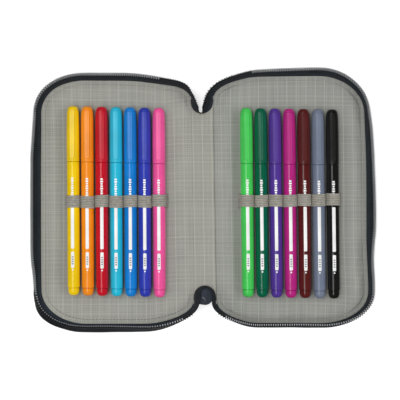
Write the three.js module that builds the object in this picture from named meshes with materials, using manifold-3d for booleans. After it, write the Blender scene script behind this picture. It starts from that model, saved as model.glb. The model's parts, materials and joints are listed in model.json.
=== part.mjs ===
// A school pencil case, lying open like a book: two padded leaves joined by a spine, a zip round three sides,
// and on each leaf an elastic strip that holds seven felt-tip pens.
// Units are millimetres, +Z is up and +Y runs along the spine towards the pen caps. The origin is on the
// table under the middle of the spine.
import * as THREE from "three";
import { mergeVertices } from "three/addons/utils/BufferGeometryUtils.js";
import Module from "manifold-3d";

const wasm = await Module();
wasm.setup();

// ---- driving dimensions ----
const GAP = 0.3; // air between neighbouring pieces
const HINGE_X = 10.75; // a leaf turns about the line at this x, at the height of the lining
const LINING_TOP = 5; // height of the lining above the table

// Edge of the lining, right half: a round notch at each end of the spine, then two elliptical corners.
const NOTCH = { y: 73, r: 8.2 };
const INNER_CORNER = { x: 40.5, y: 76, a: 32, b: 15.5 };
const OUTER_CORNER = { x: 88, y: 65.5, a: 34, b: 26 };
const SIDE_BULGE = 1.6; // how far the control point of the outer side stands out

// Layers of a leaf and of the spine: lowest and highest z.
const LEAF_LAYERS = { cover: [0, 0.8], board: [1.1, 2.6], padding: [2.9, 4.1], lining: [4.4, LINING_TOP] };
const SPINE_LAYERS = { cover: [2.2, 3.0], board: [3.3, 4.1], lining: [4.4, LINING_TOP] };
const COVER_GROW = 1.3; // the cover reaches under the side walls
const BOARD_SHRINK = 2.5; // boards stop short of the seams
const BOARD_HINGE_GAP = 3.2; // and leave the crease soft
const SPINE_BOARD = { halfWidth: 7.2, halfLength: 61 };

// Side wall: a gusset, then the zip tape, then the coil, on a slope that leans outwards.
const WALL_LENGTH = 11.1; // up the slope, from the lining to the teeth
// Past the hinge line, in the notches, the wall is one piece that starts just under the lining's top.
const NOTCH_WALL = { x: 9.15, low: 5, lean: 0.38, thick: 0.8, under: 0.5 };
const REACH = { side: 6.9, end: 5.6, notch: 3.2 }; // how far the teeth lean out
const GUSSET = { length: 5.4, thick: 0.8, bottom: 1.1 };
const TAPE = { from: 3.4, to: 9.2, inner: -0.8, outer: -0.3 };
const COIL = { from: 9.5, to: WALL_LENGTH, inner: -1.3, outer: 0.5, bevel: 0.4 };

// Pens and the elastic that holds them.
const PEN_PITCH = 10.7;
const PEN_STEP = -0.3; // each pen sits this much lower than the one on its left
const PEN_AXIS_Z = LINING_TOP + 5;
const PEN_HALF = 71.25; // half the length of a capped pen
const CAP_MOUTH = 29.05; // where the cap ends, measured from the pen's middle
const TAIL_END = -64.9; // where the narrower tail plug starts
const BAND = { width: 10.4, inner: 4.85, outer: 5.45, foot: 1.6, thick: 0.6 };
const ROWS = {
  left: {
    x: -64.1, y: -1.5, turn: 0.3,
    pens: { yellow: 0xf0cc1e, orange: 0xf58f22, red: 0xc4152f, turquoise: 0x2fc0dc,
      sky_blue: 0x1a86d4, dark_blue: 0x3446b4, pink: 0xf2609f },
  },
  right: {
    x: 65.8, y: -2.7, turn: 0.65,
    pens: { light_green: 0x52cc60, dark_green: 0x0b6849, violet: 0x573b94, magenta: 0xb82f82,
      brown: 0x5a1c1a, grey: 0x767f92, black: 0x20201d },
  },
};

// Zip slider, its pull, and the round tab over it, at the lower end of the spine.
const SLIDER = { y: -74.4, halfWidth: 4.3, halfLength: 4.7, plate: 0.9, front: 2.6, back: 5.8 };
const PULL = { pinZ: 1.5, thick: 0.9, length: 26, width: 5.8, eye: 4.6, corner: 1.6 };
const BRIDGE = { halfWidth: 0.9, halfLength: 2.4, wall: 0.9, floor: 0.4 }; // the loop that holds the pull
const TAB = { r: 4.9, bottom: 7.1, top: 8.0, bevel: 0.5 };

const NAVY = 0x2b3138;
const GREY = 0xa09c92;
const BAND_GREY = 0x9a978d;
const BOARD_BROWN = 0xb9a98a;
const WADDING_WHITE = 0xe8e6df;
const SLIDER_BLACK = 0x23272d;

// How finely curves are divided.
const EDGE_STEPS = 5;
const PEN_SIDES = 12;
const DISC_SIDES = 20;

function material(color, roughness = 0.9, metalness = 0) {
  return new THREE.MeshStandardMaterial({ color, roughness, metalness });
}

function named(name, geometry, look) {
  const mesh = new THREE.Mesh(geometry, look);
  mesh.name = name;
  return mesh;
}

// ---- joins and cuts ----
function solid(geometry) {
  const bare = geometry.clone();
  bare.deleteAttribute("normal");
  bare.deleteAttribute("uv");
  const merged = mergeVertices(bare.index ? bare.toNonIndexed() : bare, 1e-4);
  return new wasm.Manifold(new wasm.Mesh({
    numProp: 3,
    vertProperties: merged.attributes.position.array,
    triVerts: new Uint32Array(merged.index.array),
  }));
}

function geometryOf(manifold) {
  const mesh = manifold.getMesh();
  return new THREE.BufferGeometry()
    .setAttribute("position", new THREE.BufferAttribute(new Float32Array(mesh.vertProperties), 3))
    .setIndex(new THREE.BufferAttribute(new Uint32Array(mesh.triVerts), 1));
}

function box(x0, x1, y0, y1, z0, z1) {
  return new THREE.BoxGeometry(x1 - x0, y1 - y0, z1 - z0)
    .translate((x0 + x1) / 2, (y0 + y1) / 2, (z0 + z1) / 2);
}

function plate(shape, [bottom, top], curveSegments = 8) {
  return new THREE.ExtrudeGeometry(shape, { depth: top - bottom, bevelEnabled: false, curveSegments })
    .translate(0, 0, bottom);
}

// ---- outlines ----
// Angle at which a corner ellipse, grown outwards, crosses the line at x.
function angleAt(corner, x, grow) {
  return Math.acos((x - corner.x) / (corner.a + grow));
}

// The lining's edge from the top of the hinge line, round the right leaf, to the bottom of it.
function leafEdge(grow, hingeX) {
  const inner = INNER_CORNER;
  const outer = OUTER_CORNER;
  const start = angleAt(inner, hingeX, grow);
  const side = outer.x + outer.a + grow;
  const path = new THREE.Path();
  path.absellipse(inner.x, inner.y, inner.a + grow, inner.b + grow, start, Math.PI / 2, true);
  path.absellipse(outer.x, outer.y, outer.a + grow, outer.b + grow, Math.PI / 2, 0, true);
  path.quadraticCurveTo(side + SIDE_BULGE, 0, side, -outer.y);
  path.absellipse(outer.x, -outer.y, outer.a + grow, outer.b + grow, 0, -Math.PI / 2, true);
  path.absellipse(inner.x, -inner.y, inner.a + grow, inner.b + grow, -Math.PI / 2, -start, true);
  return path;
}

// One side of a notch, from the middle of the spine's end out to the line at x. Top end, right side.
function notchEdge(x) {
  const path = new THREE.Path();
  path.absarc(0, NOTCH.y, NOTCH.r, -Math.PI / 2, 0, false);
  path.absellipse(INNER_CORNER.x, INNER_CORNER.y, INNER_CORNER.a, INNER_CORNER.b,
    Math.PI, angleAt(INNER_CORNER, x, 0), true);
  return path;
}

// Points along a path, each with the normal on its left.
function stations(path, steps) {
  const list = [];
  path.curves.forEach((curve) => {
    const count = curve.isEllipseCurve ? steps * 2 : steps;
    for (let k = list.length ? 1 : 0; k <= count; k++) {
      const tangent = curve.getTangent(k / count);
      list.push({ point: curve.getPoint(k / count), normal: new THREE.Vector2(-tangent.y, tangent.x) });
    }
  });
  return list;
}

function leafShape(grow, hingeX) {
  return new THREE.Shape(stations(leafEdge(grow, hingeX), EDGE_STEPS).map(({ point }) => point));
}

function spineShape() {
  const quarter = stations(notchEdge(HINGE_X - GAP), EDGE_STEPS).map(({ point }) => point);
  const flip = (sx, sy) => quarter.map((p) => new THREE.Vector2(sx * p.x, sy * p.y));
  return new THREE.Shape([
    ...flip(1, 1), ...flip(1, -1).reverse(), ...flip(-1, -1).slice(1), ...flip(-1, 1).reverse().slice(0, -1),
  ]);
}

// ---- side walls ----
// How far the top of the wall leans out, from the outward normal and the distance to the spine.
function reachAt({ normal, point }) {
  const open = THREE.MathUtils.smoothstep(point.x, HINGE_X, 45);
  const free = REACH.side * normal.x ** 2 + REACH.end * normal.y ** 2;
  return THREE.MathUtils.lerp(REACH.notch, free, open);
}

// A point on the wall's section: g up the slope, q off it on the outer side. Gives outward distance and z.
function onSlope(reach, g, q) {
  const c = reach / WALL_LENGTH;
  const s = Math.sqrt(1 - c * c);
  return [GAP + c * g + s * q, LINING_TOP + s * g - c * q];
}

const SECTIONS = {
  gusset: (reach) => [
    [GAP, GUSSET.bottom], [GAP + GUSSET.thick, GUSSET.bottom],
    onSlope(reach, 0.3, GUSSET.thick), onSlope(reach, GUSSET.length, GUSSET.thick),
    onSlope(reach, GUSSET.length, 0), [GAP, LINING_TOP],
  ],
  tape: (reach) => [
    onSlope(reach, TAPE.from, TAPE.inner), onSlope(reach, TAPE.from, TAPE.outer),
    onSlope(reach, TAPE.to, TAPE.outer), onSlope(reach, TAPE.to, TAPE.inner),
  ],
  coil: (reach) => [
    onSlope(reach, COIL.from, COIL.inner), onSlope(reach, COIL.from, COIL.outer),
    onSlope(reach, COIL.to - COIL.bevel, COIL.outer), onSlope(reach, COIL.to, COIL.outer - COIL.bevel),
    onSlope(reach, COIL.to, COIL.inner + COIL.bevel), onSlope(reach, COIL.to - COIL.bevel, COIL.inner),
  ],
};

// Carries a section along a row of stations; the piece lies on the side the normals point to.
function sweep(row, section, reachOf) {
  const rings = row.map((station, i) => section(reachOf(station, i / (row.length - 1))));
  const size = rings[0].length;
  const positions = row.flatMap(({ point, normal }, i) => rings[i]
    .flatMap(([out, z]) => [point.x + normal.x * out, point.y + normal.y * out, z]));
  const index = [];
  for (let i = 0; i < row.length - 1; i++) {
    for (let k = 0; k < size; k++) {
      const a = i * size + k;
      const b = i * size + ((k + 1) % size);
      index.push(a, b, a + size, b, b + size, a + size);
    }
  }
  const last = (row.length - 1) * size;
  const flat = rings[0].map(([out, z]) => new THREE.Vector2(out, z));
  THREE.ShapeUtils.triangulateShape(flat, [])
    .forEach(([a, b, c]) => index.push(a, c, b, last + a, last + b, last + c));
  return new THREE.BufferGeometry()
    .setAttribute("position", new THREE.BufferAttribute(new Float32Array(positions), 3))
    .setIndex(index);
}

// ---- leaves and spine ----
function leaf(side) {
  const group = new THREE.Group();
  const edge = HINGE_X + GAP;
  const fabric = material(NAVY);
  const { cover, board, padding, lining } = LEAF_LAYERS;
  const inner = leafShape(-BOARD_SHRINK, edge + BOARD_HINGE_GAP);
  group.add(
    named(side + "_cover", plate(leafShape(COVER_GROW, edge), cover), fabric),
    named(side + "_board", plate(inner, board), material(BOARD_BROWN)),
    named(side + "_padding", plate(inner, padding), material(WADDING_WHITE)),
    named(side + "_lining", plate(leafShape(0, edge), lining), material(GREY)),
  );
  const row = stations(leafEdge(0, edge), EDGE_STEPS);
  [["gusset", "_gusset"], ["tape", "_zip_tape"], ["coil", "_zip_coil"]].forEach(([part, suffix]) => {
    group.add(named(side + suffix, sweep(row, SECTIONS[part], reachAt), fabric));
  });
  group.scale.x = side === "left" ? -1 : 1;
  return group;
}

// The wall where it runs on past the hinge line and down into a notch. It leans in and gets lower on the way.
function notchWall(name, row, lengthAt) {
  const section = (share) => {
    const length = lengthAt(share);
    const lean = NOTCH_WALL.lean * length;
    const rise = Math.sqrt(length ** 2 - lean ** 2);
    const z = LINING_TOP - NOTCH_WALL.under;
    return [[GAP, z], [GAP + NOTCH_WALL.thick, z],
      [GAP + NOTCH_WALL.thick + lean, z + rise], [GAP + lean, z + rise]];
  };
  return named(name, sweep(row, section, (_, share) => share), material(NAVY));
}

function notchRow(sx, sy) {
  return stations(notchEdge(NOTCH_WALL.x), EDGE_STEPS).map(({ point, normal }) => ({
    point: new THREE.Vector2(sx * point.x, sy * point.y),
    normal: new THREE.Vector2(sx * normal.x, sy * normal.y),
  }));
}

function spine() {
  const group = new THREE.Group();
  const shape = spineShape();
  const { halfWidth, halfLength } = SPINE_BOARD;
  group.add(
    named("spine_cover", plate(shape, SPINE_LAYERS.cover), material(NAVY)),
    named("spine_board", box(-halfWidth, halfWidth, -halfLength, halfLength, ...SPINE_LAYERS.board),
      material(BOARD_BROWN)),
    named("spine_lining", plate(shape, SPINE_LAYERS.lining), material(GREY)),
    ...topTapeEnds(),
    notchWall("zip_end_gusset", [...notchRow(1, -1).reverse(), ...notchRow(-1, -1).slice(1)],
      (share) => THREE.MathUtils.lerp(NOTCH_WALL.low, WALL_LENGTH, (2 * share - 1) ** 2)),
  );
  return group;
}

// The tails of the two zip tapes at the top of the spine.
function topTapeEnds() {
  const right = notchWall("right_tape_end", notchRow(1, 1).slice(1),
    (share) => THREE.MathUtils.lerp(NOTCH_WALL.low, WALL_LENGTH, share));
  const left = right.clone();
  left.name = "left_tape_end";
  left.scale.x = -1;
  return [left, right];
}

// ---- slider and pull ----
function slider() {
  const { y, halfWidth, halfLength, plate: thick, front, back } = SLIDER;
  const outline = new THREE.Shape().absellipse(0, y, halfWidth, halfLength, 0, 2 * Math.PI);
  const pieces = [
    plate(outline, [front, front + thick]),
    plate(outline, [back, back + thick]),
    box(-1.1, 1.1, y - halfLength + 0.9, y - 1, front + 0.2, back + 0.2), // the post that parts the teeth
  ].map(solid);
  const bottom = PULL.pinZ - PULL.thick / 2 - GAP - BRIDGE.floor;
  const eye = BRIDGE.halfLength - BRIDGE.wall;
  const bridge = solid(box(-BRIDGE.halfWidth, BRIDGE.halfWidth,
    y - BRIDGE.halfLength, y + BRIDGE.halfLength, bottom, front + 0.2))
    .subtract(solid(box(-2, 2, y - eye, y + eye, bottom + BRIDGE.floor, front - GAP)));
  const body = pieces.reduce((sum, piece) => sum.add(piece), bridge);
  return named("zip_slider", geometryOf(body), material(SLIDER_BLACK, 0.45, 0.6));
}

// A flat tongue with a window round the slider's bridge, and a cross bar in the bridge's eye.
function sliderPull() {
  const { pinZ, thick, length, width, eye, corner } = PULL;
  const half = width / 2;
  const window = BRIDGE.halfWidth + 0.5;
  const layer = [pinZ - thick / 2, pinZ + thick / 2];
  const outline = new THREE.Shape([
    [-half, -1], [half, -1], [half, length - corner], [half - corner, length],
    [corner - half, length], [-half, length - corner],
  ].map(([x, along]) => new THREE.Vector2(x, SLIDER.y + along)));
  const bar = solid(box(-half, half, SLIDER.y - thick / 2, SLIDER.y + thick / 2, ...layer));
  const body = solid(plate(outline, layer))
    .subtract(solid(box(-window, window, SLIDER.y - 3, SLIDER.y + eye, 0, 2 * pinZ)))
    .add(bar);
  return named("slider_pull", geometryOf(body), material(SLIDER_BLACK, 0.45, 0.6));
}

// The round patch of fabric that covers the slider from above.
function zipEndTab() {
  const { r, bottom, top, bevel } = TAB;
  const disc = lathe([[0, bottom], [r, bottom], [r, top - bevel], [r - bevel, top], [0, top]], DISC_SIDES)
    .rotateX(Math.PI / 2)
    .translate(0, SLIDER.y, 0);
  return named("zip_end_tab", disc, material(NAVY));
}

// ---- pens and elastic ----
function lathe(profile, sides) {
  return new THREE.LatheGeometry(profile.map(([r, along]) => new THREE.Vector2(r, along)), sides);
}

// Barrel with its tail plug, its neck and its fibre nib.
function barrelGeometry() {
  return lathe([
    [0, -PEN_HALF], [2.3, -PEN_HALF + 0.6], [3.5, -PEN_HALF + 2.2], [4.1, TAIL_END], [4.4, TAIL_END],
    [4.6, CAP_MOUTH - GAP], [3.5, CAP_MOUTH - GAP],
    [3.3, 38.4], [2.3, 39.4], [1.5, 45.2], [0.8, 45.4], [0, 47.6], // neck and nib, inside the cap
  ], PEN_SIDES);
}

function capGeometry() {
  return lathe([
    [0, PEN_HALF - 5.4], [3.3, PEN_HALF - 6.4], [3.9, CAP_MOUTH],
    [4.7, CAP_MOUTH], [4.1, PEN_HALF - 4.6], [3.4, PEN_HALF - 2], [2.1, PEN_HALF - 0.6], [0, PEN_HALF],
  ], PEN_SIDES);
}

// A strip of elastic that arches over every pen and is sewn down between them.
function elasticGeometry(count) {
  const xs = Array.from({ length: count }, (_, i) => (i - (count - 1) / 2) * PEN_PITCH);
  const floor = LINING_TOP + GAP - PEN_AXIS_Z;
  const outerDip = Math.acos(PEN_PITCH / 2 / BAND.outer);
  const end = xs[count - 1] + BAND.outer;
  const shape = new THREE.Shape();
  shape.moveTo(-end - BAND.foot, floor);
  shape.lineTo(-end - BAND.foot, floor + BAND.thick);
  shape.lineTo(-end, floor + BAND.thick);
  xs.forEach((x, i) => {
    const from = i === 0 ? Math.PI : Math.PI - outerDip;
    const to = i === count - 1 ? 0 : outerDip;
    shape.absarc(x, 0, BAND.outer, from, to, true);
  });
  shape.lineTo(end, floor + BAND.thick);
  shape.lineTo(end + BAND.foot, floor + BAND.thick);
  shape.lineTo(end + BAND.foot, floor);
  [...xs].reverse().forEach((x) => {
    shape.lineTo(x + BAND.inner, floor);
    shape.absarc(x, 0, BAND.inner, 0, Math.PI, false);
    shape.lineTo(x - BAND.inner, floor);
  });
  return new THREE.ExtrudeGeometry(shape, { depth: BAND.width, bevelEnabled: false, curveSegments: 5 })
    .translate(0, 0, -BAND.width / 2)
    .rotateX(Math.PI / 2);
}

function penRow(side) {
  const { x, y, turn, pens } = ROWS[side];
  const row = new THREE.Group();
  row.position.set(x, y, PEN_AXIS_Z);
  row.rotation.z = THREE.MathUtils.degToRad(turn);
  const colours = Object.entries(pens);
  row.add(named(side + "_elastic", elasticGeometry(colours.length), material(BAND_GREY)));
  colours.forEach(([colour, hex], i) => {
    const plastic = material(hex, 0.3);
    const pen = new THREE.Group();
    const place = i - (colours.length - 1) / 2;
    pen.position.set(place * PEN_PITCH, place * PEN_STEP, 0);
    pen.add(
      named(`pen_${colour}_barrel`, barrelGeometry(), plastic),
      named(`pen_${colour}_cap`, capGeometry(), plastic),
    );
    row.add(pen);
  });
  return row;
}

const pencilCase = new THREE.Group();
pencilCase.add(leaf("left"), leaf("right"), spine(), zipEndTab(), slider(), sliderPull(),
  penRow("left"), penRow("right"));

export default pencilCase;
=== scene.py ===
import json
import math

import bmesh
import bpy
import numpy as np
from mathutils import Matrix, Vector, kdtree
from mathutils.geometry import delaunay_2d_cdt


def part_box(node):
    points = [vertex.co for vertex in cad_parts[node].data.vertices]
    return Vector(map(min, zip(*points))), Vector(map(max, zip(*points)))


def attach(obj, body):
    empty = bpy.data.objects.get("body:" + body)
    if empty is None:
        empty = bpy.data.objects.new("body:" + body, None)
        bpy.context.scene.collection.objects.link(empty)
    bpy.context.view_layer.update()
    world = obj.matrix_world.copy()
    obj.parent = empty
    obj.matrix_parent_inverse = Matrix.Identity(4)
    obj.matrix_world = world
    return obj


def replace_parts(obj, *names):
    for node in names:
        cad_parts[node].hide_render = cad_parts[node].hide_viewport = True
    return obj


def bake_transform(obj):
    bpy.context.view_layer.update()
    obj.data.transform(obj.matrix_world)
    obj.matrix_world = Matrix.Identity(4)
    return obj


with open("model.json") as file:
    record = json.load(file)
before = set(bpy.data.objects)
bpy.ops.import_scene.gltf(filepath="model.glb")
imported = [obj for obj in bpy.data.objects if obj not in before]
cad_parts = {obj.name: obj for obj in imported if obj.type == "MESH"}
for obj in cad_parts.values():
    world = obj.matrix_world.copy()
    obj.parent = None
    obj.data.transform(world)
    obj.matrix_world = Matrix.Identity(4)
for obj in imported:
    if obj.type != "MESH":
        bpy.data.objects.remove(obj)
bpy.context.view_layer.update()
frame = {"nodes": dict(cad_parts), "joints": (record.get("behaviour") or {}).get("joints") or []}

# Lengths here are millimetres, in the frame of the CAD model, and become metres in new_piece().
MM = 0.001
SIDES = {"left": -1, "right": 1}
UV = "cloth"
BAND_HALF = 4.6  # half the elastic's width
RIBS = 7

LINING_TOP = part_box("spine_lining")[1].z / MM
CREASE = 8.5  # the spine's panel ends here, just inside the hinge line
BLEND_END = 13.5
WALL_LENGTH = 11.1  # up the side wall, from the lining to the teeth
PEN_AXIS = Vector((0, 0, sum(v.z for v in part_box("pen_red_barrel")) / 2 / MM))


# ---------------------------------------------------------------- small maths
def smooth(value, low, high):
    share = np.clip((np.asarray(value, float) - low) / (high - low), 0, 1)
    return share * share * (3 - 2 * share)


def bump(value, centre, width):
    return np.exp(-((np.asarray(value, float) - centre) / width) ** 2)


def unit(vector):
    return vector / np.linalg.norm(vector)


def catmull(points, steps=8):
    """A smooth curve through points."""
    points = np.asarray(points, float)
    longer = np.vstack([2 * points[0] - points[1], points, 2 * points[-1] - points[-2]])
    made = []
    for a, b, c, d in zip(longer, longer[1:], longer[2:], longer[3:]):
        for t in np.arange(steps) / steps:
            made.append(0.5 * (2 * b + (c - a) * t + (2 * a - 5 * b + 4 * c - d) * t ** 2
                               + (3 * b - a - 3 * c + d) * t ** 3))
    return np.array([*made, points[-1]])


def lengths(path):
    return np.concatenate([[0], np.cumsum(np.linalg.norm(np.diff(path, axis=0), axis=1))])


def at_lengths(path, wanted, along=None):
    """The points at these lengths along a path, or along another path that has as many points."""
    along = lengths(path) if along is None else along
    return np.stack([np.interp(wanted, along, column) for column in path.T], axis=1)


def evenly(path, spacing):
    total = lengths(path)[-1]
    return at_lengths(path, np.linspace(0, total, max(2, round(total / spacing)) + 1))


def left_normals(path):
    """Unit vectors square to a flat path, on its left."""
    steps = np.gradient(path, axis=0)
    steps /= np.linalg.norm(steps, axis=1)[:, None]
    return np.stack([-steps[:, 1], steps[:, 0]], axis=1)


def tree_of(points):
    tree = kdtree.KDTree(len(points))
    for i, (x, y) in enumerate(points):
        tree.insert((x, y, 0), i)
    tree.balance()
    return tree


def linear(colour):
    """A colour given as three numbers from 0 to 255, as the shader wants it."""
    c = np.asarray(colour, float) / 255
    return (*np.where(c <= 0.04045, c / 12.92, ((c + 0.055) / 1.055) ** 2.4), 1.0)


# ---------------------------------------------------------------- meshes
def merge(parts):
    """Several (vertices, faces) as one."""
    vertices, faces, offset = [], [], 0
    for part in parts:
        vertices.append(np.asarray(part[0], float))
        faces.extend([tuple(i + offset for i in face) for face in part[1]])
        offset += len(part[0])
    return np.vstack(vertices), faces


def placed(name, data):
    """A new object in the scene."""
    made = bpy.data.objects.new(name, data)
    bpy.context.scene.collection.objects.link(made)
    return made


def new_piece(name, vertices, faces, material, uv=None, crease_angle=40):
    """A mesh from millimetres. uv is a flat place in metres for each vertex."""
    mesh = bpy.data.meshes.new(name)
    mesh.from_pydata((np.asarray(vertices, float) * MM).tolist(), [], faces)
    if uv is not None:
        layer = mesh.uv_layers.new(name=UV)
        corners = np.zeros(len(mesh.loops), int)
        mesh.loops.foreach_get("vertex_index", corners)
        layer.data.foreach_set("uv", np.asarray(uv, float)[corners].ravel())
    solid = bmesh.new()
    solid.from_mesh(mesh)
    bmesh.ops.recalc_face_normals(solid, faces=solid.faces)
    solid.to_mesh(mesh)
    solid.free()
    mesh.shade_smooth()
    mesh.set_sharp_from_angle(angle=math.radians(crease_angle))
    mesh.materials.append(material)
    piece = placed(name, mesh)
    return piece


def second_material(piece, material, chosen):
    """Gives the chosen faces of a piece another material."""
    piece.data.materials.append(materials[material])
    piece.data.polygons.foreach_set("material_index", [int(face) for face in chosen])


def loft(rings, caps=True):
    """Skin over rings of the same number of points."""
    count, size = len(rings), len(rings[0])
    faces = []
    for i in range(count - 1):
        for k in range(size):
            a, b = i * size + k, i * size + (k + 1) % size
            faces.append((a, b, b + size, a + size))
    if caps:
        faces.append(tuple(range(size - 1, -1, -1)))
        faces.append(tuple(range((count - 1) * size, count * size)))
    return np.vstack(rings), faces


def tube(path, radius, sides=8, flat=1.0, up=(0, 0, 1)):
    """A round rod along path, with rounded ends. flat squeezes it along up."""
    path = np.asarray(path, float)
    radius = np.broadcast_to(radius, len(path)).astype(float)
    tangents = np.gradient(path, axis=0)
    first, last = unit(tangents[0]), unit(tangents[-1])
    far, wide = np.array([[0.8], [0.5]]), np.array([0.35, 0.8])  # each end's two extra rings, in radii
    path = np.vstack([path[0] - first * radius[0] * far, path, path[-1] + last * radius[-1] * far[::-1]])
    radius = np.concatenate([radius[0] * wide, radius, radius[-1] * wide[::-1]])
    tangents = np.gradient(path, axis=0)
    angles = np.arange(sides) * 2 * math.pi / sides
    rings = []
    for point, tangent, r in zip(path, tangents, radius):
        side = unit(np.cross(tangent, up))
        over = unit(np.cross(side, tangent))
        rings.append([point + r * (math.cos(a) * side + flat * math.sin(a) * over) for a in angles])
    return loft(rings)


def lathe(profile, sides=48):
    """Turned about the Y axis from (radius, y) points. An end with no radius closes in a point."""
    angles = np.arange(sides) * 2 * math.pi / sides
    vertices, faces, starts = [], [], []
    for r, y in profile:
        starts.append(len(vertices))
        if r == 0:
            vertices.append((0, y, 0))
        else:
            vertices.extend((r * math.sin(a), y, r * math.cos(a)) for a in angles)
    for (r, _), (next_r, _), a, b in zip(profile, profile[1:], starts, starts[1:]):
        for k in range(sides):
            n = (k + 1) % sides
            if r == 0:
                faces.append((a, b + k, b + n))
            elif next_r == 0:
                faces.append((a + k, a + n, b))
            else:
                faces.append((a + k, a + n, b + n, b + k))
    return np.array(vertices), faces


# ---------------------------------------------------------------- materials
class Shader:
    """A node material in the making."""

    def __init__(self, name, roughness=0.8, metallic=0.0, **sockets):
        self.material = bpy.data.materials.new(name)
        self.material.use_nodes = True
        self.tree = self.material.node_tree
        self.surface = self.tree.nodes["Principled BSDF"]
        self.surface.inputs["Roughness"].default_value = roughness
        self.surface.inputs["Metallic"].default_value = metallic
        for socket, value in sockets.items():
            self.surface.inputs[socket.replace("_", " ").title().replace("Ior", "IOR")].default_value = value

    def node(self, kind, inputs=(), out=0, **settings):
        node = self.tree.nodes.new(kind)
        for key, value in settings.items():
            setattr(node, key, value)
        for key, value in dict(inputs).items():
            self.feed(node.inputs[key], value)
        return node.outputs[out]

    def feed(self, socket, value):
        """Sets a socket to another node's output, a number, or a colour given from 0 to 255."""
        if isinstance(value, bpy.types.NodeSocket):
            self.tree.links.new(value, socket)
        else:
            socket.default_value = linear(value) if isinstance(value, (tuple, list)) else value

    def math(self, operation, a, b=0.0, c=0.0):
        return self.node("ShaderNodeMath", {0: a, 1: b, 2: c}, operation=operation)

    def times(self, a, b):
        return self.math("MULTIPLY", a, b)

    def flat_coordinates(self):
        """The cloth's own flat coordinates, in millimetres."""
        uv = self.node("ShaderNodeUVMap", uv_map=UV)
        return self.split(self.node("ShaderNodeVectorMath", {0: uv, "Scale": 1000.0}, operation="SCALE"))

    def place(self):
        """Where a point is on its piece, in millimetres."""
        spot = self.node("ShaderNodeTexCoord", out=3)
        return self.node("ShaderNodeVectorMath", {0: spot, "Scale": 1 / MM}, operation="SCALE")

    def split(self, vector):
        node = self.tree.nodes.new("ShaderNodeSeparateXYZ")
        self.tree.links.new(vector, node.inputs[0])
        return node.outputs[0], node.outputs[1]

    def noise(self, vector, scale, detail=3.0, roughness=0.5):
        return self.node("ShaderNodeTexNoise", {"Vector": vector, "Scale": scale, "Detail": detail,
                                                "Roughness": roughness})

    def remap(self, value, low, high, to_low=0.0, to_high=1.0):
        return self.node("ShaderNodeMapRange", {0: value, 1: low, 2: high, 3: to_low, 4: to_high})

    def mix(self, share, a, b):
        """One colour into another."""
        return self.node("ShaderNodeMix", {0: share, 6: a, 7: b}, out=2, data_type="RGBA")

    def cloudy_mix(self, cloud, dark, light, low=0.3, high=0.7):
        """Two colours in soft patches."""
        return self.mix(self.remap(cloud, low, high), dark, light)

    def wave(self, value, pitch):
        """From 0 to 1 and back in each pitch."""
        turned = self.times(value, 2 * math.pi / pitch)
        return self.math("MULTIPLY_ADD", self.math("SINE", turned), 0.5, 0.5)

    def line(self, value, pitch, width):
        """1 on thin lines a pitch apart, and 0 between."""
        away = self.math("PINGPONG", value, pitch / 2)
        return self.remap(away, width / 2, width / 4)

    def colour(self, value):
        self.feed(self.surface.inputs["Base Color"], value)

    def roughness(self, value, low, high, to_low, to_high):
        self.feed(self.surface.inputs["Roughness"], self.remap(value, low, high, to_low, to_high))

    def relief(self, height, strength, distance):
        bump_inputs = {"Height": height, "Strength": strength, "Distance": distance * MM}
        self.feed(self.surface.inputs["Normal"], self.node("ShaderNodeBump", bump_inputs))


def weave_height(shader, u, v, pitch):
    """Height of a plain weave: warp and weft pass over each other by turns."""
    over = shader.times(shader.wave(u, pitch * 2), shader.wave(v, pitch * 2))
    under = shader.math("SUBTRACT", 1.0, over)
    return shader.math("MAXIMUM", shader.times(shader.wave(u, pitch), over),
                       shader.times(shader.wave(v, pitch), under))


def toned(colour, share, lift=0):
    """A colour made lighter or darker."""
    return [min(255, part * share + lift) for part in colour]


# The lining's pale threads, across and along: their pitch, width and strength.
CHECK = (((7.05, 0.8, 0.5), (4.23, 0.6, 0.18), (3.02, 0.6, 0.18), (1.06, 0.45, 0.15)),
         ((7.0, 0.7, 0.2), (3.5, 0.6, 0.22), (2.83, 0.6, 0.16), (1.06, 0.45, 0.15)))
# Its uneven yarns: noise scale across and along, strength, and tone.
YARNS = ((1.1, 0.03, 0.45, 0.85), (0.03, 1.1, 0.35, 1.1))


def lining_material(name, tint):
    """A fine check: pale threads at several pitches, in both directions, over a plain weave."""
    shader = Shader(name, 0.8, sheen_weight=0.08, sheen_roughness=0.5, specular_ior_level=0.3)
    u, v = shader.flat_coordinates()
    cloudy = shader.noise(shader.place(), 0.045)
    colour = shader.cloudy_mix(cloudy, toned(tint, 0.93), toned(tint, 1.02))
    for along_u, along_v, share, tone in YARNS:
        stretched = {0: shader.times(u, along_u), 1: shader.times(v, along_v)}
        yarns = shader.noise(shader.node("ShaderNodeCombineXYZ", stretched), 1.0, 2.0)
        colour = shader.mix(shader.remap(yarns, 0.35, 0.7, 0.0, share), colour, toned(tint, tone))
    for value, threads in zip((u, v), CHECK):
        for pitch, width, share in threads:
            shown = shader.times(shader.line(value, pitch, width), share)
            colour = shader.mix(shown, colour, toned(tint, 1.22))
    height = weave_height(shader, u, v, 0.4)
    # Painted shade: the low points of the weave are darkened towards a deeper tone.
    shader.colour(shader.mix(shader.remap(height, 0.1, 0.6, 0.2, 0.0), colour, toned(tint, 0.62)))
    shader.roughness(cloudy, 0.2, 0.8, 0.7, 0.9)
    shader.relief(height, 0.4, 0.1)
    return shader.material


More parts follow.
